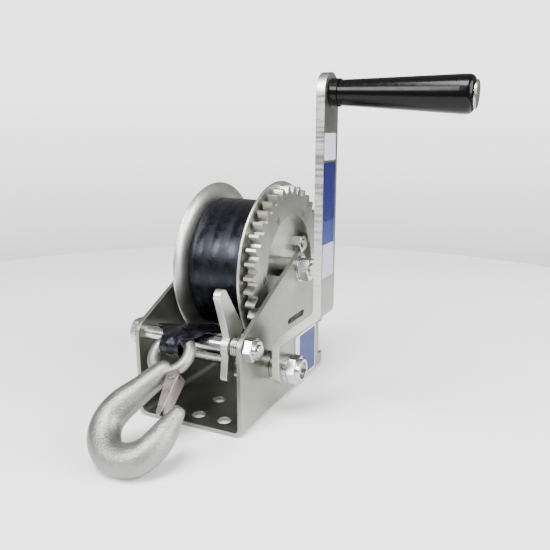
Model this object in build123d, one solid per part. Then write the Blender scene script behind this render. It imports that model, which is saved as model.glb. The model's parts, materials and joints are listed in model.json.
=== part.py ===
# Hand winch with a strap, a hook and a crank, for a trailer or a bench.
# Millimetres. X runs along the drum, with the crank on +X. Y runs back, away from the hook. Z is up.
# The origin is on the underside of the base plate, at the middle of its length and width.
from build123d import *
from math import acos, asin, atan2, cos, hypot, pi, radians, sin, sqrt, tan
import os

os.makedirs("parts", exist_ok=True)

# Frame, one sheet bent to a U
sheet = 3.0
frame_width = 85.0
base_length = 145.0
bend_radius = 6.5
rear_shoulder = 56.0
top_radius = 13.0
notch_depth = 8.0
notch_bottom = 14.0
notch_height = 28.0
notch_round = 2.0
slot_length = 31.0
slot_height = 4.5
slot_setback = 74.0
slot_rise = 61.0
drain_hole = 5.0
drain_setback = 83.0
drain_rise = 11.0
base_hole = 10.0
base_hole_spacing = 21.0
base_row_setback = 13.5
base_centre_setback = 41.0

# Places of the three cross shafts, back from the front edge and up from the floor
tie_setback = 9.5
tie_rise = 61.5
axle_setback = 96.0
axle_rise = 98.0
mesh_angle = 227.0

# Gears
tooth_size = 3.1
drum_teeth = 39
pinion_teeth = 13
pressure_angle = 25.0
addendum = 0.9
dedendum = 1.15
backlash = 0.4
gear_inset = 4.0
gear_bore_radius = 41.0
gear_step = 2.0
gear_step_radius = 50.0
pinion_side_gap = 2.0
pinion_plate_gap = 0.9
rivet_count = 6
rivet_radius = 3.0
rivet_circle = 45.5

# Drum and strap
strap_width = 48.0
drum_shift = -1.5
strap_thickness = 1.6
strap_side_gap = 0.6
wrap_gap = 0.5
roll_radius = 48.0
core_radius = 20.0
core_wall = 2.5
left_flange_radius = 63.5
right_flange_radius = 66.5
flange_sheet = 2.0
flare_radius = 54.0
flare_angle = 48.0
drum_bush_radius = 8.0
drum_bush_depth = 10.0
anchor_radius = 32.5
anchor_angle = 25.0
anchor_bolt = 8.0
anchor_nut_across = 13.0
anchor_recess = 0.5
anchor_head = 5.3

# Shafts and fasteners
axle_diameter = 10.0
shaft_diameter = 12.0
tie_diameter = 8.0
tie_tube_diameter = 11.0
bush_wall = 2.0
bush_flange_radius = 10.0
bush_flange = 4.0
running_gap = 0.05
side_gap = 0.3
washer = 1.6
axle_washer_radius = 10.0
tie_nut_across = 14.5
tie_nut_height = 6.2
tie_nut_collar = 2.4
tie_nut_collar_radius = 6.2
tie_head = 5.3
tie_head_across = 17.0
axle_nut_across = 16.0
axle_nut_height = 8.0
axle_head = 6.4
thread_end = 1.5
hex_chamfer = 0.7
hex_face_inset = 0.3
ring_thickness = 1.2
ring_width = 2.5
ring_groove = 0.6
shaft_stub = 2.0

# Crank
arm_width = 24.0
arm_foot = 0.2
arm_thickness = 5.5
crank_radius = 185.6
arm_offset = 29.8
joggle_start = 22.3
joggle_angle = 51.0
arm_bend_radius = 7.0
collar_radius = 8.5
collar_length = 4.2
grip_length = 84.0
grip_tilt = 2.0
grip_gap = 0.6
grip_small_radius = 7.6
grip_large_radius = 10.9
grip_collar_radius = 8.4
grip_collar_length = 5.0
grip_round = 3.5
grip_bolt_diameter = 8.0
grip_head_radius = 8.0
grip_head = 1.3
grip_head_round = 0.7
crank_nut_across = 18.0
crank_nut_height = 6.2
crank_nut_collar = 3.0
crank_nut_collar_radius = 7.9
crank_washer_radius = 10.0
crank_washer = 3.6

# Pawl and its spring
pawl_thickness = 5.0
pawl_inner_face = 27.0
pawl_lever = 42.0
pawl_tail = 19.0
pawl_tip_forward = 11.5
pawl_root_back = 3.5
pawl_root_rise = 9.0
pawl_heel_forward = 6.0
pawl_heel_radius = 3.8
pawl_limb_radius = 6.75
pawl_tip_radius = 4.5
pawl_boss_radius = 9.0
pawl_clear = 0.4
nose_radius = 1.2
spring_wire = 1.0
spring_coil_radius = 6.4
spring_pitch = 1.45
spring_leg = 9.4

# Hook, measured down from the middle of the bar that the strap goes round
hook_side = -2.0
bar_forward = 3.7
bar_rise = 66.3
eye_radius = 12.8
eye_section = 4.2
bowl_drop = 65.4
bowl_shift = -0.7
bowl_radius = 20.8
bowl_section = 10.2
back_section = 10.3
neck_section = 7.0
point_section = 4.8
back_angle = -212.5
point_angle = -5.0
point_lean = 12.0
point_root_section = 9.0
point_middle_section = 7.2
front_section = 10.2
shank_length = 34.0
point_reach = 16.7
floor_gap = 0.3
latch_sheet = 1.2
latch_drop = 29.5
latch_shift = 11.2
latch_length = 24.5
latch_lean = 6.0
latch_head_radius = 4.3
latch_end_radius = 1.8
latch_half_width = 5.2
latch_pin_radius = 1.5
latch_pin_head = 0.9
latch_pin_head_radius = 2.4
lug_radius = 2.8
lug_root_radius = 5.6
lug_edge = 0.1
latch_wire = 0.8
latch_coil_radius = 2.4
latch_half_turns = 3
latch_long_leg = 6.0
latch_short_leg = 3.8

# Strap tail
tail_side = -3.2
loop_width = 14.0
loop_wall = 2.0
loop_bar_gap = 1.2
loop_slack = 7.5
loop_slack_angle = 197.0
loop_end_radius = 6.2
tail_gap = 0.4

# How far a cut runs past the face that it breaks through
beyond = 1.0

# Worked out from the sizes above
front = -base_length / 2
rear = base_length / 2
outer = frame_width / 2
inner = outer - sheet
tie = (front + tie_setback, tie_rise)
axle = (front + axle_setback, axle_rise)
tie_end = outer + tie_nut_height + tie_nut_collar + thread_end
axle_end = outer + washer + axle_nut_height + thread_end
centre_distance = tooth_size * (drum_teeth + pinion_teeth) / 2
shaft = (axle[0] + centre_distance * cos(radians(mesh_angle)),
         axle[1] + centre_distance * sin(radians(mesh_angle)))
flange_inner = strap_width / 2 + strap_side_gap
flange_outer = flange_inner + flange_sheet
strap_left = drum_shift - strap_width / 2
strap_right = drum_shift + strap_width / 2
drum_left = drum_shift - flange_outer
drum_right = drum_shift + flange_outer
pinion_left = drum_right + pinion_side_gap
pinion_right = inner - pinion_plate_gap
gear_left = drum_right + gear_step
gear_right = pinion_right - gear_inset
anchor_nut_height = gear_right - anchor_recess - thread_end - drum_right
arm_left = outer + bush_flange + side_gap + collar_length
arm_right = arm_left + arm_thickness
upper_left = arm_left + arm_offset
upper_right = upper_left + arm_thickness
grip_height = shaft[1] + crank_radius
wrap_step = strap_thickness + wrap_gap
pinion_tip = tooth_size * (pinion_teeth / 2 + addendum)


# Solids shared by several pieces
def rod(radius, left, right, place):
    """Round bar along X."""
    seat = Location((left, place[0], place[1]), (0, 90, 0))
    return seat * Cylinder(radius, right - left, align=(Align.CENTER, Align.CENTER, Align.MIN))


def tube(radius, bore, left, right, place):
    """Round bar along X with a hole through it."""
    return rod(radius, left, right, place) - rod(bore, left - beyond, right + beyond, place)


def plate(face, left, right):
    """A face drawn in Y and Z, thickened along X."""
    return extrude(Plane.YZ.offset(left) * face, amount=right - left)


def hexagon(across, left, right, place):
    """Hexagonal bar along X, with its corners turned off at both ends."""
    outline = RegularPolygon(across / 2, 6, major_radius=False)
    face_radius = across / 2 - hex_face_inset
    corner_radius = across / sqrt(3)
    points = [(left, 0), (left, face_radius), (left + hex_chamfer, corner_radius),
              (right - hex_chamfer, corner_radius), (right, face_radius), (right, 0)]
    turned = revolve(make_face(Polyline(*points, close=True)), axis=Axis.X)
    return plate(Pos(place[0], place[1]) * outline, left, right) & Pos(0, place[0], place[1]) * turned


def disc(place, radius):
    return Pos(place[0], place[1]) * Circle(radius)


def hull(first, first_radius, second, second_radius):
    """Outline of a belt round two circles."""
    across = (second[0] - first[0], second[1] - first[1])
    length = hypot(across[0], across[1])
    heading = atan2(across[1], across[0])
    spread = acos((first_radius - second_radius) / length)
    corners = []
    for place, radius, side in ((first, first_radius, 1), (second, second_radius, 1),
                                (second, second_radius, -1), (first, first_radius, -1)):
        turn = heading + side * spread
        corners.append((place[0] + radius * cos(turn), place[1] + radius * sin(turn)))
    belt = make_face(Polyline(*corners, close=True))
    return belt + disc(first, first_radius) + disc(second, second_radius)


def bolt(size, head_face, end, place, across, head):
    """Hexagon bolt along X: the head is left of head_face and the thread ends at end."""
    return hexagon(across, head_face - head, head_face, place) + rod(size / 2, head_face, end, place)


def nut(size, across, left, height, place):
    """Hexagon nut on a bolt along X."""
    right = left + height
    return hexagon(across, left, right, place) - rod(size / 2, left - beyond, right + beyond, place)


def lock_nut(size, across, left, height, collar, collar_radius, place):
    """Hexagon nut with the round collar of its locking ring on the right."""
    right = left + height
    ring = tube(collar_radius, size / 2, right, right + collar, place)
    return nut(size, across, left, height, place) + ring


def coil_path(radius, half_turns, length, first_leg, last_leg):
    """Line wound round Z in half circles, each leaning so that its end is one step higher."""
    step = length / half_turns
    bend = sqrt(radius ** 2 + (step / 2) ** 2)
    points = [(radius * (-1) ** k, 0, step * k) for k in range(half_turns + 1)]
    runs = [Line((radius, -first_leg, 0), points[0])]
    for k in range(half_turns):
        middle = (0, bend * (-1) ** k, step * (k + 0.5))
        runs.append(ThreePointArc(points[k], middle, points[k + 1]))
    leaving = (-1) ** half_turns
    runs.append(Line(points[-1], (points[-1][0], leaving * last_leg, points[-1][2])))
    return Wire(runs)


def wire_along(path, wire):
    """Round wire swept along a path."""
    start = Plane(path @ 0, z_dir=path % 0)
    return sweep(start * Circle(wire / 2), path=path)


def polar(radius, angle):
    return (radius * cos(angle), radius * sin(angle))


def gear_outline(teeth, phase):
    """Involute gear about the origin, with the middle of one tooth at the angle phase."""
    pitch = tooth_size * teeth / 2
    base = pitch * cos(radians(pressure_angle))
    tip = pitch + addendum * tooth_size
    root = pitch - dedendum * tooth_size
    foot = max(root, base)
    rolled = tan(radians(pressure_angle)) - radians(pressure_angle)
    thickness = pi * tooth_size / 2 - backlash / 2

    def half_angle(radius):
        turn = acos(min(1.0, base / radius))
        return thickness / (2 * pitch) + rolled - (tan(turn) - turn)

    middle = (foot + tip) / 2
    edges = []
    for k in range(teeth):
        centre = phase + 2 * pi * k / teeth
        after = phase + 2 * pi * (k + 1) / teeth
        rise = [polar(r, centre - half_angle(r)) for r in (foot, middle, tip)]
        fall = [polar(r, centre + half_angle(r)) for r in (tip, middle, foot)]
        low_start = polar(root, centre - half_angle(foot))
        low_end = polar(root, centre + half_angle(foot))
        next_start = polar(root, after - half_angle(foot))
        if foot > root:
            edges.append(Line(low_start, rise[0]))
        edges.append(ThreePointArc(*rise))
        edges.append(ThreePointArc(rise[2], polar(tip, centre), fall[0]))
        edges.append(ThreePointArc(*fall))
        if foot > root:
            edges.append(Line(fall[2], low_end))
        edges.append(ThreePointArc(low_end, polar(root, (centre + after) / 2), next_start))
    return make_face(edges)


# Frame and what is bolted through it
def make_frame():
    """A U channel cut to the outline of its side plates, with its holes."""
    height = axle_rise + top_radius
    channel = Pos(0, height / 2) * RectangleRounded(frame_width, height + 2 * bend_radius, bend_radius)
    channel = Pos(0, bend_radius) * channel
    hollow = Pos(0, height / 2 + sheet + bend_radius) * RectangleRounded(
        2 * inner, height + 2 * bend_radius, bend_radius - sheet)
    section = channel - hollow
    body = extrude(Plane.XZ.offset(-rear) * section, amount=base_length)
    reach = hypot(rear - axle[0], rear_shoulder - axle[1])
    bearing = atan2(rear_shoulder - axle[1], rear - axle[0]) + acos(top_radius / reach)
    crest = (axle[0] + top_radius * cos(bearing), axle[1] + top_radius * sin(bearing))
    lower = [(front, 0), (front, tie[1]), tie, axle, crest, (rear, rear_shoulder), (rear, 0)]
    side = hull(tie, tie_setback, axle, top_radius) + make_face(Polyline(*lower, close=True))
    notch = Pos(rear, notch_bottom + notch_height / 2) * RectangleRounded(
        2 * notch_depth, notch_height, notch_round)
    body = body & plate(side - notch, -outer, outer)
    for place, size in ((tie, tie_diameter / 2), (axle, axle_diameter / 2)):
        body -= rod(size, -outer - beyond, outer + beyond, place)
    body -= rod(shaft_diameter / 2 + bush_wall, -outer - beyond, outer + beyond, shaft)
    slot_place = Pos(front + slot_setback + slot_length / 2, slot_rise)
    body -= plate(slot_place * SlotOverall(slot_length, slot_height), inner - beyond, outer + beyond)
    body -= rod(drain_hole / 2, inner - beyond, outer + beyond, (front + drain_setback, drain_rise))
    drills = [(-base_hole_spacing, base_row_setback), (0, base_row_setback),
              (base_hole_spacing, base_row_setback), (0, base_centre_setback)]
    for across, setback in drills:
        body -= Pos(across, front + setback, 0) * Cylinder(base_hole / 2, 4 * sheet)
    return body


def make_bush(side):
    """Flanged bush pressed into a side plate, for the pinion shaft."""
    body = tube(shaft_diameter / 2 + bush_wall, shaft_diameter / 2 + running_gap, inner, outer, shaft)
    body += tube(bush_flange_radius, shaft_diameter / 2 + running_gap, outer, outer + bush_flange, shaft)
    if side < 0:
        body = mirror(body, about=Plane.YZ)
    return body


def make_axle_washers():
    rings = [tube(axle_washer_radius, axle_diameter / 2, left, left + washer, axle)
             for left in (-outer - washer, outer)]
    return Compound(children=rings)


# Drum
def make_flange(side):
    """Disc with a round rim. The left one bends away from the strap outside the flare radius."""
    inside = flange_inner
    outside = flange_outer
    lip = flange_sheet / 2
    if side > 0:
        rim = (inside + lip, right_flange_radius - lip)
        half = make_face(Polyline((inside, drum_bush_radius), (inside, rim[1]), (outside, rim[1]),
                                  (outside, drum_bush_radius), close=True))
    else:
        turn = radians(flare_angle)
        bend = lip + (left_flange_radius - lip - flare_radius) / sin(turn)

        def flared(radius, share):
            across, out = polar(radius, turn * share)
            return (inside + bend - across, flare_radius + out)

        rim = flared(bend - lip, 1)
        edges = [Line((inside, drum_bush_radius), flared(bend, 0)),
                 ThreePointArc(flared(bend, 0), flared(bend, 0.5), flared(bend, 1)),
                 Line(flared(bend, 1), flared(bend - flange_sheet, 1))]
        edges += [ThreePointArc(*[flared(bend - flange_sheet, share) for share in (1, 0.5, 0)]),
                  Line(flared(bend - flange_sheet, 0), (outside, drum_bush_radius)),
                  Line((outside, drum_bush_radius), (inside, drum_bush_radius))]
        half = make_face(edges)
    body = revolve(Plane.XY * (half + Pos(*rim) * Circle(lip)), axis=Axis.X)
    if side < 0:
        body = mirror(body, about=Plane.YZ)
    body = Pos(drum_shift, axle[0], axle[1]) * body
    body -= rod(anchor_bolt / 2, -outer, outer, anchor_place)
    if side > 0:
        for place in rivet_places:
            body -= rod(rivet_radius, drum_shift, drum_right + beyond, place)
    return body


anchor_place = (axle[0] + anchor_radius * cos(radians(anchor_angle)),
                axle[1] + anchor_radius * sin(radians(anchor_angle)))
rivet_places = [(axle[0] + rivet_circle * cos(2 * pi * k / rivet_count),
                 axle[1] + rivet_circle * sin(2 * pi * k / rivet_count)) for k in range(rivet_count)]


def make_drum_gear():
    gap_middle = radians(mesh_angle) + pi / drum_teeth
    teeth = Pos(axle[0], axle[1]) * gear_outline(drum_teeth, gap_middle)
    body = plate(teeth, gear_left, gear_right)
    body += rod(gear_step_radius, drum_right, gear_left, axle)
    body -= rod(gear_bore_radius, drum_right - beyond, gear_right + beyond, axle)
    for place in rivet_places:
        body -= rod(rivet_radius, drum_right - beyond, gear_right + beyond, place)
    return body


def make_rivets():
    """Rivets that hold the gear ring to the right flange, hammered flush at both ends."""
    left = drum_right - flange_sheet
    return Compound(children=[rod(rivet_radius, left, gear_right, place) for place in rivet_places])


def make_drum_bush(side):
    """Sleeve that runs on the axle and spaces the drum from the side plate."""
    ends = (drum_shift + side * (flange_inner - drum_bush_depth), side * (inner - side_gap))
    return tube(drum_bush_radius, axle_diameter / 2 + running_gap, min(ends), max(ends), axle)


def make_drum_core():
    """Tube that the strap is wound on, closed at its ends by rings round the bushes."""
    left_end = drum_shift - flange_inner
    right_end = drum_shift + flange_inner
    body = tube(core_radius, core_radius - core_wall, left_end, right_end, axle)
    for left in (left_end, right_end - core_wall):
        body += tube(core_radius, drum_bush_radius, left, left + core_wall, axle)
    return body


def make_anchor_bolt():
    end = drum_right + anchor_nut_height + thread_end
    return bolt(anchor_bolt, drum_left, end, anchor_place, anchor_nut_across, anchor_head)


def make_strap_roll():
    """The inner layers of the strap, with room for the bolt that its sewn end goes round."""
    body = tube(roll_radius, core_radius, strap_left, strap_right, axle)
    return body - rod(anchor_bolt / 2, drum_left, drum_right, anchor_place)


# The strap runs under the roll and over the tie bolt's tube
wrap_half_turns = 3
wrap_inside = roll_radius + wrap_gap / 2
wrap_outside = wrap_inside + wrap_step * (wrap_half_turns - 1) / 2 + strap_thickness
tail_roll_radius = wrap_outside + tail_gap
tail_tie_radius = tie_tube_diameter / 2 + side_gap
tail_heading = atan2(axle[1] - tie[1], axle[0] - tie[0])
tail_span = hypot(axle[1] - tie[1], axle[0] - tie[0])
tail_slope = asin((tail_roll_radius + tail_tie_radius + strap_thickness) / tail_span) - tail_heading
tail_up = Vector(sin(tail_slope), cos(tail_slope))


def least_gap(path, width, apart):
    """Least free space between stretches of a wound path that lie further apart along it than apart."""
    count = 150
    points = [path @ (k / count) for k in range(count + 1)]
    skip = int(apart / path.length * count) + 1
    pairs = [(i, j) for i in range(count + 1) for j in range(i + skip, count + 1)]
    return min((points[i] - points[j]).length for i, j in pairs) - width


def wrap_arcs(shift):
    """Half circles of a spiral: each is half a step wider than the last, and they end at the tail."""
    arcs = []
    heading = tail_up
    side = Vector(heading.Y, -heading.X)
    start = Vector(*axle) + heading * (wrap_inside + shift)
    for k in range(wrap_half_turns):
        radius = wrap_inside + shift + wrap_step / 2 * k
        sign = (-1) ** k
        end = start - heading * (2 * radius * sign)
        middle = (start + end) * 0.5 + side * (radius * sign)
        arcs.append(ThreePointArc(start, middle, end))
        start = end
    return arcs


def make_strap_wrap():
    """The outermost layers as one band that winds outwards to where the tail leaves."""
    inside = wrap_arcs(0.0)
    outside = wrap_arcs(strap_thickness)
    ends = [Line(inside[0] @ 0, outside[0] @ 0), Line(inside[-1] @ 1, outside[-1] @ 1)]
    middle = Wire(wrap_arcs(strap_thickness / 2))
    print("strap wrap, least gap to itself", round(least_gap(middle, strap_thickness, pi * roll_radius), 2))
    return plate(make_face(inside + outside + ends), strap_left, strap_right)


# Crank, turning with the pinion
shaft_left = -(outer + bush_flange + side_gap)
groove_radius = shaft_diameter / 2 - ring_groove
crank_nut_left = arm_right + crank_washer
crank_nut_right = crank_nut_left + crank_nut_height + crank_nut_collar
shaft_right = crank_nut_right - shaft_stub


def make_pinion_shaft():
    body = rod(shaft_diameter / 2, shaft_left - ring_thickness - shaft_stub, shaft_right, shaft)
    body += rod(collar_radius, arm_left - collar_length, arm_left, shaft)
    groove = tube(shaft_diameter, groove_radius, shaft_left - ring_thickness, shaft_left, shaft)
    return body - groove


def make_shaft_ring():
    ring_radius = shaft_diameter / 2 + ring_width
    return tube(ring_radius, groove_radius, shaft_left - ring_thickness, shaft_left, shaft)


def make_pinion():
    phase = radians(mesh_angle) - pi
    teeth = Pos(shaft[0], shaft[1]) * gear_outline(pinion_teeth, phase)
    return plate(teeth, pinion_left, pinion_right) - rod(shaft_diameter / 2, 0, outer, shaft)


grip_place = (shaft[0], grip_height)


def make_crank_arm():
    """Flat bar with round ends, bent outwards and back."""
    foot = (shaft[0], shaft[1] - arm_foot)
    bottom = foot[1] - arm_width
    top = grip_height + arm_width
    bend = shaft[1] + joggle_start
    rise = arm_offset / tan(radians(joggle_angle))
    drop = arm_thickness * tan(radians(joggle_angle / 2))
    bends = [(arm_left, bend), (upper_left, bend + rise),
             (upper_right, bend + rise - drop), (arm_right, bend - drop)]
    outline = Polyline((arm_left, bottom), bends[0], bends[1], (upper_left, top), (upper_right, top),
                       bends[2], bends[3], (arm_right, bottom), close=True)
    side = make_face(outline)
    corners = side.vertices().sort_by(Axis.Y)[2:-2]
    side = fillet(corners, arm_bend_radius)
    bar = extrude(Plane.XZ * side, amount=arm_width, both=True)
    bar = Pos(0, shaft[0], 0) * bar
    front_view = hull(foot, arm_width / 2, grip_place, arm_width / 2)
    body = bar & plate(front_view, arm_left - beyond, upper_right + beyond)
    body -= rod(shaft_diameter / 2, arm_left - beyond, arm_right + beyond, shaft)
    return body - grip_seat * rod(grip_bolt_diameter / 2, -arm_thickness - beyond, beyond, (0, 0))


# The grip and its spindle are drawn along X from the arm's face, then tilted down
grip_seat = Location((upper_right, grip_place[0], grip_place[1]), (0, grip_tilt, 0))
grip_right = grip_gap + grip_length


def make_grip():
    """Tapered sleeve that spins on its bolt, with a collar at the arm and a round outer end."""
    bore = grip_bolt_diameter / 2 + running_gap
    taper = grip_gap + grip_collar_length
    points = [(grip_gap, bore), (grip_gap, grip_collar_radius), (taper, grip_collar_radius),
              (taper, grip_small_radius), (grip_right - 2 * grip_round, grip_large_radius),
              (grip_right, grip_large_radius), (grip_right, bore)]
    half = make_face(Polyline(*points, close=True))
    outer_corner = half.vertices().sort_by(Axis.X)[-2:].sort_by(Axis.Y)[-1]
    half = fillet(outer_corner, grip_round)
    return grip_seat * revolve(half, axis=Axis.X)


def make_grip_bolt():
    """Spindle with a round head outside the grip, hammered flush in the arm."""
    head_left = grip_right + side_gap
    body = rod(grip_bolt_diameter / 2, side_gap - arm_thickness, head_left, (0, 0))
    head = rod(grip_head_radius, head_left, head_left + grip_head, (0, 0))
    rim = head.edges().filter_by(GeomType.CIRCLE).sort_by(Axis.X)[-1]
    return grip_seat * (body + fillet(rim, grip_head_round))


# Pawl on the tie bolt, with its nose just off the tips of the pinion's teeth
pawl_right = pawl_inner_face + pawl_thickness
pawl_tip = (tie[0] - pawl_tip_forward, tie[1] + pawl_lever - pawl_tip_radius)
pawl_root = (tie[0] + pawl_root_back, tie[1] + pawl_root_rise)
pawl_heel = (tie[0] - pawl_heel_forward, tie[1] - pawl_tail)
nose_heading = atan2(shaft[1] - tie[1], shaft[0] - tie[0])
nose_reach = hypot(shaft[0] - tie[0], shaft[1] - tie[1]) - pinion_tip - pawl_clear - nose_radius
pawl_nose = (tie[0] + nose_reach * cos(nose_heading), tie[1] + nose_reach * sin(nose_heading))


def make_pawl():
    """Thumb lever above the pivot, a nose towards the pinion and a short heel below."""
    outline = hull(pawl_root, pawl_boss_radius, pawl_tip, pawl_tip_radius)
    outline += hull(tie, pawl_limb_radius, pawl_heel, pawl_heel_radius)
    outline += hull(tie, pawl_limb_radius, pawl_nose, nose_radius)
    outline += disc(tie, pawl_boss_radius)
    outline -= disc(tie, tie_diameter / 2 + running_gap)
    return plate(outline, pawl_inner_face, pawl_right)


def make_pawl_spring():
    """Torsion spring round the tie bolt, between the pawl and the side plate."""
    start = pawl_right + side_gap + spring_wire / 2
    length = inner - side_gap - spring_wire / 2 - start
    half_turns = 2 * max(1, int(length / spring_pitch))
    path = coil_path(spring_coil_radius, half_turns, length, spring_leg, spring_leg)
    gap = least_gap(path, spring_wire, pi * spring_coil_radius)
    print("pawl spring, least gap to itself", round(gap, 2))
    seat = Plane((start, tie[0], tie[1]), x_dir=(0, 1, 0), z_dir=(1, 0, 0))
    return seat.location * wire_along(path, spring_wire)


# Hook, drawn flat with the bar of its eye at the origin and its bowl below, then laid against the floor
bowl_reach = bowl_drop + bowl_radius
hook_lean = asin((bar_rise - bowl_section - floor_gap) / bowl_reach)
bar = (front - bar_forward, bar_rise)
hook_plane = Plane((hook_side, bar[0], bar[1]), x_dir=(1, 0, 0), z_dir=(0, -sin(hook_lean), cos(hook_lean)))
latch_pivot = (latch_shift, -latch_drop)


def bowl_point(angle):
    across, rise = polar(bowl_radius, radians(angle))
    return Vector(bowl_shift + across, rise - bowl_drop)


# Angles of the sections that round off the hook's two ends
dome_turns = [radians(angle) for angle in (37, 67)]


def hook_stations():
    """Middle, direction and radius of each round section, from the point round the bowl to the neck."""
    begin = bowl_point(point_angle)
    lean = Vector(sin(radians(point_lean)), cos(radians(point_lean)))
    tip = begin + lean * point_reach
    stations = [(tip + lean * (point_section * sin(turn)), lean * -1, point_section * cos(turn))
                for turn in reversed(dome_turns)]
    stations += [(tip, lean * -1, point_section),
                 (begin + lean * (point_reach / 2), lean * -1, point_middle_section)]
    turns = [(point_angle, point_root_section), ((point_angle - 90) / 2, front_section), (-90, bowl_section),
             (-135, back_section), (-180, back_section), (back_angle, bowl_section)]
    for turn, radius in turns:
        along = Vector(sin(radians(turn)), -cos(radians(turn)))
        stations.append((bowl_point(turn), along, radius))
    heel = bowl_point(back_angle)
    stations.append((heel + along * (shank_length / 2), along, (bowl_section + neck_section) / 2))
    neck = heel + along * shank_length
    stations.append((neck, along, neck_section))
    stations += [(neck + along * (neck_section * sin(turn)), along, neck_section * cos(turn))
                 for turn in dome_turns]
    return stations


def make_hook():
    """Forged hook: a thick bowl that thins to its point, a neck, a round eye and a lug for the latch."""
    sections = [Plane(middle, x_dir=(0, 0, 1), z_dir=along) * Circle(radius)
                for middle, along, radius in hook_stations()]
    body = loft(sections) + Pos(0, -eye_radius) * Torus(eye_radius, eye_section)
    lug = hull((bowl_shift, latch_pivot[1]), lug_root_radius, latch_pivot, lug_radius)
    body += extrude(Plane.XY.offset(lug_low) * lug, amount=lug_edge - lug_low)
    pin_hole = Pos(*latch_pivot) * Cylinder(latch_pin_radius, 6 * latch_half_width)
    return hook_plane.location * (body - pin_hole)


latch_inside = latch_half_width - latch_sheet
lug_low = -(latch_inside - side_gap)
latch_heading = Vector(sin(radians(latch_lean)), -cos(radians(latch_lean)))
latch_outward = Vector(cos(radians(latch_lean)), sin(radians(latch_lean)))


def make_latch():
    """Folded sheet: a web on the outside of the throat and two side walls with the pin's holes."""
    pivot = Vector(*latch_pivot)
    tip = pivot + latch_heading * latch_length
    outline = hull((pivot.X, pivot.Y), latch_head_radius, (tip.X, tip.Y), latch_end_radius)
    body = extrude(outline, amount=latch_half_width, both=True)
    shift = latch_outward * -(latch_sheet + latch_head_radius)
    hollow = hull((pivot.X + shift.X, pivot.Y + shift.Y), 2 * latch_head_radius,
                  (tip.X + shift.X, tip.Y + shift.Y), latch_head_radius + latch_end_radius)
    body -= extrude(hollow, amount=latch_inside, both=True)
    body -= Pos(*latch_pivot) * Cylinder(latch_pin_radius + 2 * running_gap, 4 * latch_half_width)
    return hook_plane.location * body


def make_latch_pin():
    """Rivet through the lug, with a head outside each wall of the latch."""
    reach = latch_half_width + side_gap
    body = Cylinder(latch_pin_radius, 2 * reach)
    for side in (-1, 1):
        head = Cylinder(latch_pin_head_radius, latch_pin_head)
        body += Pos(0, 0, side * (reach + latch_pin_head / 2)) * head
    return hook_plane.location * Pos(*latch_pivot) * body


def make_latch_spring():
    """Torsion spring round the pin, beside the lug."""
    start = lug_edge + side_gap + latch_wire / 2
    length = latch_inside - side_gap - latch_wire / 2 - start
    path = coil_path(latch_coil_radius, latch_half_turns, length, latch_long_leg, latch_short_leg)
    gap = least_gap(path, latch_wire, pi * latch_coil_radius)
    print("latch spring, least gap to itself", round(gap, 2))
    seat = Pos(latch_pivot[0], latch_pivot[1], start)
    return hook_plane.location * seat * wire_along(path, latch_wire)


# Tail of the strap, from the roll over the tie tube to a sewn loop in the eye
def make_strap_tail():
    thick = strap_thickness
    low_tie = Vector(*tie) + tail_up * tail_tie_radius
    high_tie = Vector(*tie) + tail_up * (tail_tie_radius + thick)
    high_roll = Vector(*axle) - tail_up * tail_roll_radius
    low_roll = high_roll - tail_up * thick
    along = Vector(0, cos(tail_slope), -sin(tail_slope))
    ends = []
    for side, low, high in ((tail_side, low_tie, high_tie), (drum_shift, low_roll, high_roll)):
        middle = (low + high) * 0.5
        end = Plane((side, middle.X, middle.Y), x_dir=(1, 0, 0), z_dir=along)
        ends.append(end * Rectangle(strap_width, thick))
    run = loft(ends)
    over = disc(tie, tail_tie_radius + thick) - disc(tie, tail_tie_radius)
    far = 4 * tie_tube_diameter
    wedge = make_face(Polyline(tie, (tie[0], tie[1] + far), Vector(*tie) + tail_up * far, close=True))
    body = run + plate(over & wedge, tail_side - strap_width / 2, tail_side + strap_width / 2)
    slack = (bar[0] + loop_slack * cos(radians(loop_slack_angle)),
             bar[1] + loop_slack * sin(radians(loop_slack_angle)))
    near = eye_section + loop_bar_gap
    loop = hull(bar, near + loop_wall, slack, loop_end_radius + loop_wall)
    loop -= hull(bar, near, slack, loop_end_radius)
    body += plate(loop, hook_side - loop_width / 2, hook_side + loop_width / 2)
    crest = tie[1] + tail_tie_radius + thick / 2
    wide = Plane((tail_side, tie[0], crest), x_dir=(1, 0, 0), z_dir=(0, -1, 0))
    narrow = Plane((hook_side, bar[0], bar[1] + near + loop_wall / 2), x_dir=(1, 0, 0), z_dir=(0, -1, 0))
    gather = loft([wide * Rectangle(strap_width, thick), narrow * Rectangle(loop_width, loop_wall)])
    return body + gather


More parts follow.
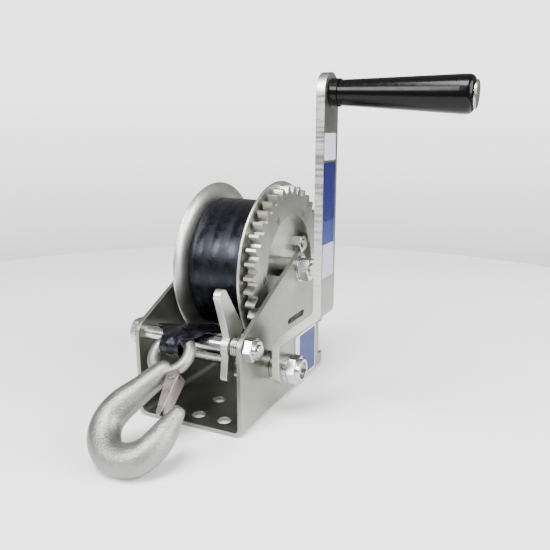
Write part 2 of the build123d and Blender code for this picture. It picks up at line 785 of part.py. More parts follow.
pieces = {
    "frame": make_frame(),
    "tie_bolt": bolt(tie_diameter, -outer, tie_end, tie, tie_head_across, tie_head),
    "tie_nut": lock_nut(tie_diameter, tie_nut_across, outer, tie_nut_height, tie_nut_collar,
                        tie_nut_collar_radius, tie),
    "tie_spacer": tube(tie_tube_diameter / 2, tie_diameter / 2, -inner, pawl_inner_face - side_gap, tie),
    "axle_bolt": bolt(axle_diameter, -outer - washer, axle_end, axle, axle_nut_across, axle_head),
    "axle_nut": nut(axle_diameter, axle_nut_across, outer + washer, axle_nut_height, axle),
    "axle_washers": make_axle_washers(),
    "shaft_bush_right": make_bush(1),
    "shaft_bush_left": make_bush(-1),
    "pawl_spring": make_pawl_spring(),
    "strap_tail": make_strap_tail(),
    "drum_core": make_drum_core(),
    "drum_flange_left": make_flange(-1),
    "drum_flange_right": make_flange(1),
    "drum_gear": make_drum_gear(),
    "gear_rivets": make_rivets(),
    "drum_bush_left": make_drum_bush(-1),
    "drum_bush_right": make_drum_bush(1),
    "strap_anchor_bolt": make_anchor_bolt(),
    "strap_anchor_nut": nut(anchor_bolt, anchor_nut_across, drum_right, anchor_nut_height, anchor_place),
    "strap_roll": make_strap_roll(),
    "strap_wrap": make_strap_wrap(),
    "pinion_shaft": make_pinion_shaft(),
    "pinion": make_pinion(),
    "shaft_ring": make_shaft_ring(),
    "crank_arm": make_crank_arm(),
    "crank_washer": tube(crank_washer_radius, shaft_diameter / 2, arm_right, crank_nut_left, shaft),
    "crank_nut": lock_nut(shaft_diameter, crank_nut_across, crank_nut_left, crank_nut_height,
                          crank_nut_collar, crank_nut_collar_radius, shaft),
    "grip": make_grip(),
    "grip_bolt": make_grip_bolt(),
    "pawl": make_pawl(),
    "hook": make_hook(),
    "hook_latch": make_latch(),
    "latch_pin": make_latch_pin(),
    "latch_spring": make_latch_spring(),
}

for name, shape in pieces.items():
    export_step(shape, f"parts/{name}.step")
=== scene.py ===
# %% [markdown]
# # A hand winch in zinc, black webbing and gloss plastic
# The winch is a bent sheet frame with three shafts across it: a tie bolt, a pinion shaft and a drum axle.
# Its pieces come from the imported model, which is a fixed frame: here they get their finishes, and the strap
# and the stickers are added around them. Everything is in metres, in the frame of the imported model.

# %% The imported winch
import bpy
import json
import numpy as np
from math import asin, atan2, cos, hypot, pi, radians, sin
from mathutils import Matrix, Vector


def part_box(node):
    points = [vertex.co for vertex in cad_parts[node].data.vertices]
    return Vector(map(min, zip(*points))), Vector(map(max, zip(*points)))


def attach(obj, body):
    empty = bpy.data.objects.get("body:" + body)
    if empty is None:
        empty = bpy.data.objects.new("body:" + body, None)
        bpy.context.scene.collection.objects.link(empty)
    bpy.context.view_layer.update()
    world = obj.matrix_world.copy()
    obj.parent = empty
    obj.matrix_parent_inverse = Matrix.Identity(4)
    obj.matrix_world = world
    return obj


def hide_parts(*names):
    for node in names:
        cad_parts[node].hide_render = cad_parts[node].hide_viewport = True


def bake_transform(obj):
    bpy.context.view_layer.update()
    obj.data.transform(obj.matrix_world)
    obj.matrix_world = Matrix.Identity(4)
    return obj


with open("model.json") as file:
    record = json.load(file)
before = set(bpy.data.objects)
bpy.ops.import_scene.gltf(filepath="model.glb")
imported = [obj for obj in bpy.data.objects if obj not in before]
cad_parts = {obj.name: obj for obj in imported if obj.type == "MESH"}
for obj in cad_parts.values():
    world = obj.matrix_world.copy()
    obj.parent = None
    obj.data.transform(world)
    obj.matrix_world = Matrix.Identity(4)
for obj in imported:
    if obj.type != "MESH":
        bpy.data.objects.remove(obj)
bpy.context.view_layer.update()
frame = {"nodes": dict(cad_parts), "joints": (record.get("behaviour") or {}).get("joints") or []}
node = frame["nodes"]
MM = 0.001
pivot = {joint["name"]: np.array(joint["pos_m"]) for joint in frame["joints"]}
axle, shaft, bar = (pivot[name][1:] for name in ("drum_turn", "crank_turn", "hook_swing"))

# %% [markdown]
# ## Camera
# A camera could be placed by eye, but the base, the flanges and the crank give enough edges to work out where
# the photographer stood: a little right of the hook, above the drum, about 40 cm from it.

# %% Camera
photo_pixels = 550
focal_pixels = 600
camera_place = np.array([222.2, -392.0, 202.9]) * MM
camera_target = np.array([38.36, -12.5, 100.3]) * MM


def new_object(name, data):
    """An object with this data, in the scene."""
    made = bpy.data.objects.new(name, data)
    bpy.context.scene.collection.objects.link(made)
    return made


def turned_to(way):
    """The turn that makes a camera or lamp look along a direction: tilt from straight down, then heading."""
    return (pi / 2 + asin(way[2] / np.linalg.norm(way)), 0, atan2(-way[0], way[1]))


camera_data = bpy.data.cameras.new("camera")
camera_data.lens = camera_data.sensor_width * focal_pixels / photo_pixels
camera = new_object("camera", camera_data)
look = camera_target - camera_place
camera.location = camera_place
camera.rotation_euler = turned_to(look)
bpy.context.scene.camera = camera
print("lens", round(camera_data.lens, 2), "distance", round(float(np.linalg.norm(look)), 3))

# %% [markdown]
# ## Helpers for every finish
# Colours are written as sRGB hex values, as a paint chart gives them, and Blender wants them linear. A finish
# is a small graph of nodes, so one function adds a node, sets it and links it. Some sockets share a name, so
# they are given by number: Map Range reads from 1 to 2 and gives 3 to 4, and Mix goes from number 2 to
# number 3, or from colour 6 to colour 7.

# %% Helpers for finishes


def linear(code):
    """Linear RGBA of an sRGB hex colour, by the sRGB curve."""
    share = np.array([int(code[k:k + 2], 16) for k in (1, 3, 5)]) / 255
    toned = np.where(share <= 0.04045, share / 12.92, ((share + 0.055) / 1.055) ** 2.4)
    return (*toned, 1.0)


def add(owner, kind, inputs, **settings):
    """Adds a shader node to a material or the world, sets its properties, and sets or links its inputs."""
    tree = owner.node_tree
    made = tree.nodes.new("ShaderNode" + kind)
    for name, value in settings.items():
        setattr(made, name, value)
    for name, value in inputs.items():
        if isinstance(value, bpy.types.NodeSocket):
            tree.links.new(value, made.inputs[name])
        else:
            made.inputs[name].default_value = value
    return made


def new_finish(name):
    """An empty node material."""
    material = bpy.data.materials.new(name)
    material.use_nodes = True
    material.node_tree.nodes.clear()
    return material


def wear(finish, *names):
    """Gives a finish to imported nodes."""
    for name in names:
        node[name].data.materials.clear()
        node[name].data.materials.append(finish)


print("helpers ready")

# %% [markdown]
# ## Zinc plating
# The sheet, the crank and the fasteners are steel with an electroplated coat of zinc. The coat is a soft
# mirror: cloudy over a few centimetres, with fine rolling lines under it, a faint yellow-green bloom from
# the passivation bath, and edges that are slightly rounded by the coat and so catch the light. The real lines
# are a few tenths of a millimetre apart, too fine for the render, so they are drawn coarser. The narrow sides
# of the crank arm were cut by a shear, which left bright and dull ridges; they are drawn with full contrast
# near the top of the arm and fainter towards its foot.

# %% Zinc plating
bloom_from, bloom_full, bloom_most = 0.45, 0.75, 0.5
gloss_below, gloss_above = 0.07, 0.09
sheared_stretch = (0.06, 0.06, 1.0)
sheared_dull, sheared_bright = "#8c8c89", "#e2e2df"
sheared_low, sheared_high = 90 * MM, 210 * MM
sheared_foot, sheared_even = 0.1, 0.6


def zinc(name, pale, dark, bloom, rough, cloud_mm, line_mm, edge_mm, stretch=(1.0, 1.0, 1.0), shear_mm=None,
         relief_mm=0.006):
    """Metal whose tone follows clouds, with a bloom, rolling lines, rounded edges and maybe sheared sides."""
    finish = new_finish(name)
    surface = add(finish, "TexCoord", {})
    place = surface.outputs["Object"]
    rolled = add(finish, "Mapping", {"Vector": place, "Scale": stretch}).outputs["Vector"]
    clouds = add(finish, "TexNoise", {"Vector": place, "Scale": 1 / (cloud_mm * MM), "Detail": 4.0})
    lines = add(finish, "TexNoise", {"Vector": rolled, "Scale": 1 / (line_mm * MM), "Detail": 3.0})
    spread = add(finish, "TexNoise", {"Vector": place, "Scale": 0.6 / (cloud_mm * MM), "Detail": 2.0})
    tone = add(finish, "Mix", {0: clouds.outputs[0], 6: linear(dark), 7: linear(pale)}, data_type="RGBA")
    tinge = add(finish, "MapRange", {0: spread.outputs[0], 1: bloom_from, 2: bloom_full,
                                     3: 0.0, 4: bloom_most})
    colour = add(finish, "Mix", {0: tinge.outputs[0], 6: tone.outputs[2], 7: linear(bloom)}, data_type="RGBA")
    if shear_mm:
        facing = add(finish, "SeparateXYZ", {0: surface.outputs["Normal"]}).outputs[1]
        side = add(finish, "Math", {0: facing}, operation="ABSOLUTE").outputs[0]
        torn = add(finish, "Mapping", {"Vector": place, "Scale": sheared_stretch}).outputs["Vector"]
        ridges = add(finish, "TexNoise", {"Vector": torn, "Scale": 1 / (shear_mm * MM), "Detail": 2.0})
        bright = add(finish, "MapRange", {0: ridges.outputs[0], 1: 0.36, 2: 0.56, 3: 0.0, 4: 1.0})
        # The ridges' contrast grows with height: faint at the foot of the arm, full near its top.
        height = add(finish, "SeparateXYZ", {0: place}).outputs[2]
        ridge_contrast_by_height = add(finish, "MapRange", {0: height, 1: sheared_low, 2: sheared_high, 3: sheared_foot, 4: 1.0})
        marks = add(finish, "Mix", {0: ridge_contrast_by_height.outputs[0], 2: sheared_even, 3: bright.outputs[0]})
        side_tone = add(finish, "Mix", {0: marks.outputs[0], 6: linear(sheared_dull),
                                        7: linear(sheared_bright)}, data_type="RGBA")
        on_side = add(finish, "MapRange", {0: side, 1: 0.8, 2: 0.9, 3: 0.0, 4: 1.0})
        colour = add(finish, "Mix", {0: on_side.outputs[0], 6: colour.outputs[2], 7: side_tone.outputs[2]},
                     data_type="RGBA")
    haze = add(finish, "Math", {0: lines.outputs[0], 1: clouds.outputs[0]}, operation="ADD")
    gloss = add(finish, "MapRange", {0: haze.outputs[0], 1: 0.6, 2: 1.4,
                                     3: rough - gloss_below, 4: rough + gloss_above})
    rounded = add(finish, "Bevel", {"Radius": edge_mm * MM}, samples=4)
    relief = add(finish, "Bump", {"Height": lines.outputs[0], "Normal": rounded.outputs[0],
                                  "Strength": 1.0, "Distance": relief_mm * MM})
    shader = add(finish, "BsdfPrincipled", {"Base Color": colour.outputs[2], "Metallic": 1.0,
                                            "Roughness": gloss.outputs[0], "Normal": relief.outputs[0]})
    add(finish, "OutputMaterial", {"Surface": shader.outputs[0]})
    return finish


sheet_zinc = zinc("zinc_plated_sheet", "#aeafab", "#63655f", "#8d8e72", rough=0.36, cloud_mm=34, line_mm=0.9,
                  edge_mm=1.1, stretch=(1.0, 0.12, 1.0))
drum_zinc = zinc("zinc_plated_spun_sheet", "#dfe0dd", "#b3b5b0", "#c4c4ad", rough=0.34, cloud_mm=18,
                 line_mm=0.8, edge_mm=0.8)
arm_zinc = zinc("zinc_plated_bar", "#a9aaa7", "#787a76", "#93937e", rough=0.36, cloud_mm=15, line_mm=0.8,
                edge_mm=0.7, stretch=(1.0, 1.0, 0.12), shear_mm=1.9)
bright_zinc = zinc("zinc_plated_fastener", "#d4d6d6", "#a8abac", "#c2c2a8", rough=0.18, cloud_mm=7,
                   line_mm=0.6, edge_mm=0.3)
gear_zinc = zinc("zinc_plated_gear_steel", "#bcbcb8", "#94958f", "#adad97", rough=0.34, cloud_mm=16,
                 line_mm=0.7, edge_mm=0.25)
turned_zinc = zinc("zinc_plated_turned_steel", "#b8b9b6", "#8b8d8b", "#a9aa8e", rough=0.24, cloud_mm=9,
                   line_mm=0.5, edge_mm=0.25, stretch=(8.0, 1.0, 1.0))
wear(sheet_zinc, "frame")
wear(drum_zinc, "drum_flange_left", "drum_flange_right", "drum_core", "pawl")
wear(arm_zinc, "crank_arm")
wear(bright_zinc, "tie_bolt", "tie_nut", "tie_spacer", "axle_bolt", "axle_nut", "axle_washers", "gear_rivets",
     "strap_anchor_bolt", "strap_anchor_nut", "crank_washer", "crank_nut", "shaft_ring",
     "pawl_spring", "latch_spring")
wear(gear_zinc, "drum_gear", "pinion")
wear(turned_zinc, "grip_bolt", "latch_pin", "pinion_shaft", "shaft_bush_right", "shaft_bush_left",
     "drum_bush_left", "drum_bush_right")
print("zinc on", sum(bool(o.data.materials) for o in node.values()), "nodes")

# %% [markdown]
# ## Forged hook and folded latch
# The hook is drop-forged, blasted and galvanised: a pale, satin, slightly gritty grey. Its grit is drawn
# coarser than the real one, so that it shows. The latch is a strip of sheet folded round a pin, a little
# darker and warmer.

# %% Forged steel
forged = zinc("blasted_forged_steel", "#9f9f9c", "#757573", "#8f8f88", rough=0.46, cloud_mm=9, line_mm=1.3,
              edge_mm=0.5, relief_mm=0.35)
latch_steel = zinc("folded_latch_steel", "#b4aca8", "#817975", "#9b928d", rough=0.30, cloud_mm=8, line_mm=0.6,
                   edge_mm=0.3)
wear(forged, "hook")
wear(latch_steel, "hook_latch")
print("hook and latch finished")

# %% [markdown]
# ## Gloss plastic
# The grip is black moulded plastic, polished in its mould: a clear, sharp highlight with the faint
# waviness of a moulded skin.

# %% Grip plastic
skin_mm = 3.0
skin_depth = 0.05 * MM
grip_plastic = new_finish("moulded_gloss_plastic")
grip_place = add(grip_plastic, "TexCoord", {}).outputs["Object"]
skin = add(grip_plastic, "TexNoise", {"Vector": grip_place, "Scale": 1 / (skin_mm * MM), "Detail": 3.0})
skin_relief = add(grip_plastic, "Bump", {"Height": skin.outputs[0], "Strength": 0.10, "Distance": skin_depth})
skin_gloss = add(grip_plastic, "MapRange", {0: skin.outputs[0], 1: 0.3, 2: 0.7, 3: 0.15, 4: 0.24})
grip_shader = add(grip_plastic, "BsdfPrincipled", {
    "Base Color": linear("#060607"), "Roughness": skin_gloss.outputs[0], "Normal": skin_relief.outputs[0],
    "Specular IOR Level": 0.18})
add(grip_plastic, "OutputMaterial", {"Surface": grip_shader.outputs[0]})
wear(grip_plastic, "grip")
print("grip finished")

# %% [markdown]
# ## Webbing
# The strap is black polyester webbing. Its warp runs in ribs along the strap, and the threads of each rib
# lean the other way from those of the next, so the weave reads as a fine herringbone. Its dull blue-grey
# sheen is partly the blue tint of its reflections and partly painted into its colour: the base colour is
# darker in the hollows between threads and ribs, as painted shade, and a little lighter and bluer on their
# crests, as painted sheen. Ribs that lean one way are a little glossier than the others.
# The strap's UV map is in millimetres along and across it, so the weave follows every bend.

# %% Webbing
rib_mm = 6.7
thread_mm = 0.9
dust_mm = 7.0
thread_height = 0.10
lean_gloss = 0.14
cloth_depth = 0.25 * MM
webbing = new_finish("woven_polyester_webbing")
weave_place = add(webbing, "UVMap", {}, uv_map="strap_mm").outputs[0]
weave = add(webbing, "SeparateXYZ", {0: weave_place})
rib = add(webbing, "Math", {0: weave.outputs[1], 1: 1 / rib_mm}, operation="MULTIPLY")
crossing = add(webbing, "Math", {0: rib.outputs[0], 1: 1.0}, operation="PINGPONG")
leaning = add(webbing, "Math", {0: crossing.outputs[0], 1: rib_mm / thread_mm}, operation="MULTIPLY")
pick = add(webbing, "Math", {0: weave.outputs[0], 1: 1 / thread_mm, 2: leaning.outputs[0]},
           operation="MULTIPLY_ADD")
turn_of_pick = add(webbing, "Math", {0: pick.outputs[0], 1: 2 * pi}, operation="MULTIPLY")
thread = add(webbing, "Math", {0: turn_of_pick.outputs[0]}, operation="SINE")
rib_turn = add(webbing, "Math", {0: crossing.outputs[0], 1: pi}, operation="MULTIPLY")
rib_crown = add(webbing, "Math", {0: rib_turn.outputs[0]}, operation="SINE")
cloth = add(webbing, "Math", {0: thread.outputs[0], 1: thread_height, 2: rib_crown.outputs[0]},
            operation="MULTIPLY_ADD")
dust = add(webbing, "TexNoise", {"Vector": weave_place, "Scale": 1 / dust_mm, "Detail": 3.0})
# The cloth's height also sets the base colour: darker in the hollows between threads and ribs, which is
# painted shade, and a little lighter and bluer on their crests, which is painted sheen, over near-black yarn.
shade = add(webbing, "MapRange", {0: cloth.outputs[0], 1: -0.1, 2: 1.2, 3: 0.0, 4: 1.0})
weave_tone_with_painted_shade = add(webbing, "Mix", {0: shade.outputs[0], 6: linear("#020203"), 7: linear("#07080d")},
                 data_type="RGBA")
side_turn = add(webbing, "Math", {0: rib.outputs[0], 1: pi}, operation="MULTIPLY")
rib_side = add(webbing, "Math", {0: side_turn.outputs[0]}, operation="SINE")
uneven = add(webbing, "Math", {0: rib_side.outputs[0], 1: lean_gloss, 2: dust.outputs[0]},
             operation="MULTIPLY_ADD")
cloth_rough = add(webbing, "MapRange", {0: uneven.outputs[0], 1: 0.3, 2: 0.7, 3: 0.2, 4: 0.4})
cloth_relief = add(webbing, "Bump", {"Height": cloth.outputs[0], "Strength": 0.25, "Distance": cloth_depth})
cloth_shader = add(webbing, "BsdfPrincipled", {
    "Base Color": weave_tone_with_painted_shade.outputs[2], "Roughness": cloth_rough.outputs[0],
    "Normal": cloth_relief.outputs[0], "Specular IOR Level": 0.32, "Specular Tint": linear("#e3e8ff")})
add(webbing, "OutputMaterial", {"Surface": cloth_shader.outputs[0]})
print("webbing ready, ribs", rib_mm, "mm")

# %% [markdown]
# ## A closed band of webbing
# Both strap pieces are a band: a row of stations along the strap, each with a loop of points round the band's
# section. The selvedges are round, as a woven edge is. One function stitches the loops to a closed mesh.

# %% Bands
strap_thick = 1.25 * MM
selvedge = 0.8 * strap_thick
strap_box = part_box("strap_roll")
strap_middle = (strap_box[0][0] + strap_box[1][0]) / 2
strap_wide = strap_box[1][0] - strap_box[0][0]


def half_thickness(across, width):
    """Half the thickness of a band at distances across it: a quarter of an ellipse at each selvedge."""
    edge = np.clip((width / 2 - np.abs(across)) / selvedge, 0, 1)
    return strap_thick / 2 * np.sqrt(1 - (1 - edge) ** 2)


def band(name, under, over, along, across):
    """Closed mesh of a band from grids of its under and over faces, with a UV map in millimetres."""
    rows = along.shape[0]
    loop = np.concatenate([under, over[:, -2:0:-1]], axis=1)
    sides = loop.shape[1]
    start, turn = np.meshgrid(np.arange(rows - 1), np.arange(sides), indexing="ij")
    after = (turn + 1) % sides
    quads = np.stack([start * sides + turn, start * sides + after,
                      (start + 1) * sides + after, (start + 1) * sides + turn], axis=-1).reshape(-1, 4)
    ends = [list(range(sides))[::-1], [(rows - 1) * sides + k for k in range(sides)]]
    mesh = bpy.data.meshes.new(name)
    mesh.from_pydata(loop.reshape(-1, 3).tolist(), [], quads.tolist() + ends)
    flat = np.stack([np.concatenate([along, along[:, -2:0:-1]], axis=1),
                     np.concatenate([across, across[:, -2:0:-1]], axis=1)], axis=-1).reshape(-1, 2) / MM
    corners = np.empty(len(mesh.loops), dtype=np.int32)
    mesh.loops.foreach_get("vertex_index", corners)
    mesh.uv_layers.new(name="strap_mm").data.foreach_set("uv", flat[corners].astype(np.float32).ravel())
    mesh.polygons.foreach_set("use_smooth", np.ones(len(mesh.polygons), dtype=bool))
    mesh.materials.append(webbing)
    made = new_object(name, mesh)
    return made


print("strap", round(strap_wide / MM, 1), "mm wide")

# %% [markdown]
# ## The wound strap
# The strap could be drawn as rings, but it is one length wound in a spiral, and its edges show it: each turn
# lies on the last and wanders a little to one side, and the outermost turns sag towards the gear.

# %% Wound strap
layer_pitch = 1.62 * MM
first_layer = 0.7 * strap_thick
leave_angle = radians(253.0)
wander_wide, wander_rates = 0.35 * MM, (0.83, 0.31)
sagging_turns = 3
sag_per_width, sag_start = 2.2 * MM, 0.1
turn_steps = 110
strap_columns = 24
core_radius = (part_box("drum_core")[1][2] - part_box("drum_core")[0][2]) / 2
wrap_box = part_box("strap_wrap")
wound_radius = axle[1] - wrap_box[0][2] - strap_thick / 2
turns = (wound_radius - core_radius - first_layer) / layer_pitch
wound_turn = np.linspace(-2 * pi * turns, 0, int(turns * turn_steps) + 1)
wander = wander_wide * np.sin(wound_turn * wander_rates[0]) * np.cos(wound_turn * wander_rates[1])
across = np.sin(np.linspace(-pi / 2, pi / 2, strap_columns + 1)) * strap_wide / 2
half_thick = half_thickness(across, strap_wide)
ring_radius = wound_radius + layer_pitch * wound_turn / (2 * pi)
outermost = np.clip(1 + wound_turn / (2 * pi * sagging_turns), 0, 1)[:, None]
sag = sag_per_width * outermost * np.clip(across / strap_wide + sag_start, 0, 1)[None, :]
wound_length = np.concatenate([[0], np.cumsum(ring_radius[1:] * np.diff(wound_turn))])


def wound_face(side):
    """Grid of one face of the spiral: radius from the turn, then lowered by the sag."""
    radius = ring_radius[:, None] + side * half_thick[None, :] - sag
    heading = (leave_angle + wound_turn)[:, None]
    place = [np.broadcast_to(strap_middle + across + wander[:, None], radius.shape),
             axle[0] + radius * np.cos(heading), axle[1] + radius * np.sin(heading)]
    return np.stack(place, axis=-1)


along_grid, across_grid = np.broadcast_arrays(wound_length[:, None], across[None, :])
strap_winding = band("strap_winding", wound_face(-1), wound_face(1), along_grid, across_grid)
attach(strap_winding, "drum")
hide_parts("strap_roll", "strap_wrap")
print("wound strap", round(float(wound_length[-1]), 2), "m in", round(turns, 1), "turns")

# %% [markdown]
# ## The route of the strap's tail
# The tail leaves the underside of the roll, runs over the tie tube, and loops through the eye of the hook.
# Its route could be drawn by hand, but a strap under tension is straight between what it lies on. So the
# route is a chain in the YZ plane: an arc on the roll, a straight run, and three arcs round the bar of the
# eye.

# %% Route of the tail
roll_gap = 0.4 * MM
roll_hug = radians(14.0)
eye_gap = 1.25 * MM
loop_slack = 7.5 * MM
slack_room = 6.2 * MM
loop_heading = radians(197.0)
loop_end = 2 * pi + radians(6.0)
station_gap = 0.55 * MM
straight_stations = 110
tail_radius = axle[1] - wrap_box[0][2] + roll_gap + strap_thick / 2
eye_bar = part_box("hook")[1][2] - bar[1]
loop_radius = eye_bar + eye_gap + strap_thick / 2
slack_radius = slack_room + strap_thick / 2
slack_place = bar + loop_slack * np.array([cos(loop_heading), sin(loop_heading)])
to_axle = axle - bar
tail_slope = asin((tail_radius + loop_radius) / hypot(*to_axle)) - atan2(to_axle[1], to_axle[0])
up_angle = pi / 2 - tail_slope
loop_spread = pi / 2 + asin((slack_radius - loop_radius) / loop_slack)


def arc(centre, radius, first, last, inward=False):
    """Points and normals on an arc from one angle to another. The normal points outwards, or inwards."""
    count = max(3, int(abs(last - first) * radius / station_gap))
    angle = np.linspace(first, last, count)
    ray = np.stack([np.cos(angle), np.sin(angle)], axis=-1)
    return centre + radius * ray, -ray if inward else ray


on_roll = arc(axle, tail_radius, up_angle + pi + roll_hug, up_angle + pi, inward=True)
over_bar = arc(bar, loop_radius, up_angle, loop_heading - loop_spread)
straight = np.linspace(on_roll[0][-1], over_bar[0][0], straight_stations)[1:-1]
up_ray = np.array([cos(up_angle), sin(up_angle)])
between = (straight, np.tile(up_ray, (len(straight), 1)))
in_front = arc(slack_place, slack_radius, loop_heading - loop_spread, loop_heading + loop_spread)
under_bar = arc(bar, loop_radius, loop_heading + loop_spread, loop_end)
route, route_up = (np.concatenate(grids) for grids in zip(on_roll, between, over_bar, in_front, under_bar))
route_length = np.concatenate([[0], np.cumsum(np.linalg.norm(np.diff(route, axis=0), axis=1))])
eye_length = route_length[len(on_roll[0]) + len(straight)]
print("tail", round(float(route_length[-1]) / MM, 1), "mm,", len(route), "stations")

# %% [markdown]
# ## The cloth of the tail
# The tail is flat on the tie tube, is drawn together to under half of its width on the eye of the hook, and
# to a third inside it. Across the route it is a line with soft folds, and where it lies on the eye it sags
# to the sides with the ring. Cloth could be simulated, but a tail under tension has few folds, so they are
# a formula. The hook swings and the roll stays, but the tail is one fixed mesh.

# %% Cloth of the tail
tail_wide = strap_wide * 0.98
tail_thin = 0.9
gathered_wide = 21.0 * MM
threaded_wide = 15.0 * MM
fold_height = 0.35 * MM
folds = 1.5
fold_phase = 0.6
tail_columns = 72
tail_across = np.linspace(-tail_wide / 2, tail_wide / 2, tail_columns + 1)
tail_half = tail_thin * half_thickness(tail_across, tail_wide)


def ease(share):
    """Smooth step from 0 to 1."""
    share = np.clip(share, 0, 1)
    return share * share * (3 - 2 * share)


def past_eye(start, run):
    """Smooth step along the route, over a run that starts this far past the point where the eye is met."""
    return ease((route_length - eye_length - start) / run)


gathering = past_eye(-14 * MM, 17 * MM)
threading = past_eye(2 * MM, 12 * MM)
narrowing = (tail_wide - gathered_wide) * gathering + (gathered_wide - threaded_wide) * threading
sideways = (1 - narrowing / tail_wide)[:, None] * tail_across[None, :]
fold_turn = 2 * pi * folds * tail_across / tail_wide + fold_phase
rise = fold_height * gathering[:, None] * (1 + np.cos(fold_turn))[None, :]
lean = np.arctan2(np.gradient(rise, axis=1), np.gradient(sideways, axis=1))
print("tail narrows from", round(tail_wide / MM, 1), "to", round(float(np.ptp(sideways[-1])) / MM, 1), "mm")

# %% Place of the tail on the tie tube and on the eye
tie_before_eye, tie_reach, tie_shift = 15 * MM, 10 * MM, 5.4 * MM
hook_shift = 0.8 * MM
eye_size = 12.8 * MM
eye_reach, eye_share = 7 * MM, 0.85
hook_middle = pivot["hook_swing"][0]
near_tie = np.exp(-((route_length - eye_length + tie_before_eye) / tie_reach) ** 2)
drift_run = 0.8 * eye_length
drift = past_eye(-drift_run, drift_run)
middle_x = strap_middle + (hook_middle + hook_shift - strap_middle) * drift - tie_shift * near_tie
hook_down = pivot["latch_swing"][1:] - bar
hook_down = hook_down / hypot(*hook_down)
from_bar = np.linalg.norm(route - bar, axis=1)
on_ring = past_eye(-9 * MM, 9 * MM) * (1 - ease((from_bar - loop_radius) / eye_reach))
beside = np.clip(np.abs(middle_x[:, None] + sideways - hook_middle), 0, eye_share * eye_size)
ring_sag = on_ring[:, None] * (eye_size - np.sqrt(eye_size ** 2 - beside ** 2))


def tail_face(side):
    """Grid of one face of the tail: its bent section set across the route, then lowered by the ring's sag."""
    offset = side * tail_half[None, :]
    out = (rise + offset * np.cos(lean))[:, :, None] * route_up[:, None, :]
    x = middle_x[:, None] + sideways - offset * np.sin(lean)
    down = ring_sag[:, :, None] * hook_down
    return np.concatenate([x[:, :, None], route[:, None, :] + out + down], axis=-1)


along_grid, across_grid = np.broadcast_arrays(route_length[:, None], tail_across[None, :])
strap_tail = band("strap_tail_webbing", tail_face(-1), tail_face(1), along_grid, across_grid)
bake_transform(strap_tail)
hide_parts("strap_tail")
print("strap tail", len(strap_tail.data.polygons), "faces")

# %% [markdown]
# ## Stickers
# The crank arm and the right side plate carry plain stickers of printed film, evenly coloured with a soft
# sheen. They could be painted into the metal's finish, but a sticker is a film with an edge, so each is a
# thin sheet that sits on the metal.

# %% Stickers
film_thick = 0.12 * MM
film_gap = 0.02 * MM
film_cut = 0.8 * MM
film_grain_mm = 6.0
film_drift = 0.06
arm_rough, plate_rough = 0.38, 0.34
white_film = "#c9c7d2"


def sticker(name, body, x, low, high, colour, rough):
    """A film with cut corners on a face that looks along +X, between two corners given in Y and Z."""
    (y0, z0), (y1, z1) = low, high
    rim = [(y0 + film_cut, z0), (y1 - film_cut, z0), (y1, z0 + film_cut), (y1, z1 - film_cut),
           (y1 - film_cut, z1), (y0 + film_cut, z1), (y0, z1 - film_cut), (y0, z0 + film_cut)]
    count = len(rim)
    points = [(x, *p) for p in rim] + [(x + film_thick, *p) for p in rim]
    faces = [tuple(range(count))[::-1], tuple(range(count, 2 * count))]
    faces += [(k, (k + 1) % count, count + (k + 1) % count, count + k) for k in range(count)]
    mesh = bpy.data.meshes.new(name)
    mesh.from_pydata(points, [], faces)
    film = new_finish(name + "_film")
    spot = add(film, "TexCoord", {}).outputs["Object"]
    grain = add(film, "TexNoise", {"Vector": spot, "Scale": 1 / (film_grain_mm * MM), "Detail": 3.0})
    gloss = add(film, "MapRange", {0: grain.outputs[0], 1: 0.3, 2: 0.7,
                                   3: rough - film_drift, 4: rough + film_drift})
    shader = add(film, "BsdfPrincipled", {"Base Color": linear(colour), "Roughness": gloss.outputs[0],
                                          "Specular IOR Level": 0.25})
    add(film, "OutputMaterial", {"Surface": shader.outputs[0]})
    mesh.materials.append(film)
    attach(new_object(name, mesh), body)


arm_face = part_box("crank_arm")[1][0] + film_gap
arm_y = (shaft[0] - 10.8 * MM, shaft[0] + 8.4 * MM)
arm_stickers = [("arm_sticker_top", 184.0, 200.5, white_film), ("arm_sticker_blue", 146.0, 182.7, "#091450"),
                ("arm_sticker_pale", 131.0, 146.0, "#1f2d6a"), ("arm_sticker_low", 109.0, 131.0, "#a3a1ae")]
for name, low_mm, high_mm, colour in arm_stickers:
    sticker(name, "crank", arm_face, (arm_y[0], low_mm * MM), (arm_y[1], high_mm * MM), colour, arm_rough)
plate_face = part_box("frame")[1][0] + film_gap
plate_low, plate_high = (16 * MM, 5 * MM), (57 * MM, 44 * MM)
sticker("plate_sticker", "frame", plate_face, plate_low, plate_high, white_film, plate_rough)
field_face = plate_face + film_thick + film_gap
field_low, field_high = (24 * MM, 6.5 * MM), (55.5 * MM, 42.5 * MM)
sticker("plate_sticker_field", "frame", field_face, field_low, field_high, "#16245f", plate_rough)
print("stickers:", len(arm_stickers), "on the arm, two on the plate")

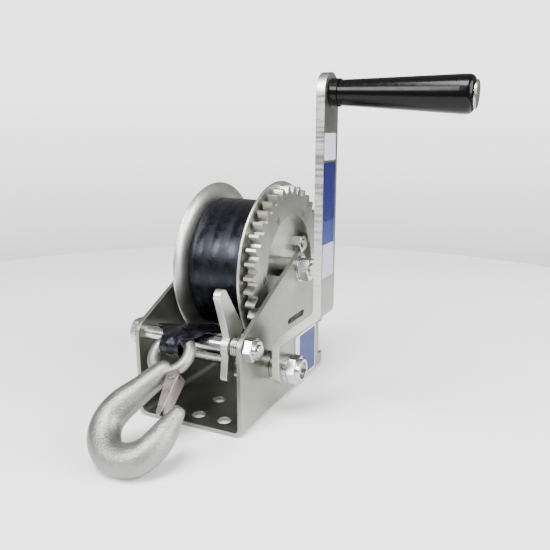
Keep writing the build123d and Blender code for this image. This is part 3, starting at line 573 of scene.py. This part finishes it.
# %% [markdown]
# ## Floor and light
# The winch stands on a plain pale floor. Metal shows what surrounds it, so the lights are large and soft:
# one broad panel above, one on the right for the side plate, and a weaker one in front for the strap. The
# camera sees a brighter backdrop than the metal reflects, so the metal keeps its contrast.

# %% Floor and backdrop
floor_radius = 0.62
floor_sides = 96
floor_drop = 0.05 * MM
round_floor = np.linspace(0, 2 * pi, floor_sides, endpoint=False)
floor_rim = np.stack([np.cos(round_floor), np.sin(round_floor), 0 * round_floor], axis=-1) * floor_radius
floor_mesh = bpy.data.meshes.new("floor")
floor_mesh.from_pydata(floor_rim.tolist(), [], [tuple(range(floor_sides))])
floor = new_object("floor", floor_mesh)
floor.location.z = -floor_drop
floor_paint = new_finish("matt_floor_paint")
floor_shader = add(floor_paint, "BsdfPrincipled", {"Base Color": linear("#f4f4f4"), "Roughness": 0.8})
add(floor_paint, "OutputMaterial", {"Surface": floor_shader.outputs[0]})
floor_mesh.materials.append(floor_paint)

room_light = 0.36
floor_edge_light = 1.5
backdrop_light = 3.0
world = bpy.data.worlds.new("studio")
bpy.context.scene.world = world
world.use_nodes = True
looking = add(world, "SeparateXYZ", {0: add(world, "TexCoord", {}).outputs["Generated"]}).outputs[2]
backdrop = add(world, "MapRange", {0: looking, 1: -0.2, 2: 0.05, 3: floor_edge_light, 4: backdrop_light})
seen = add(world, "LightPath", {}).outputs["Is Camera Ray"]
strength = add(world, "MapRange", {0: seen, 3: room_light, 4: backdrop.outputs[0]})
sky = world.node_tree.nodes["Background"]
world.node_tree.links.new(strength.outputs[0], sky.inputs["Strength"])
sky.inputs["Color"].default_value = linear("#ffffff")
print("floor", floor_radius, "m in radius")

# %% Lights
winch_middle = (0.03, 0.0, 0.08)


def panel(name, place, size, power):
    """A square soft light at place, turned to face the winch."""
    data = bpy.data.lights.new(name, "AREA")
    data.size = size
    data.energy = power
    lamp = new_object(name, data)
    lamp.location = place
    lamp.rotation_euler = turned_to(np.array(winch_middle) - np.array(place))


panel("light_above", (0.12, -0.75, 1.6), size=0.75, power=56.0)
panel("light_right", (1.35, -0.1, 0.75), size=1.1, power=45.0)
panel("light_front", (-0.55, -1.35, 1.05), size=0.7, power=32.0)
print("lights turned to", winch_middle)
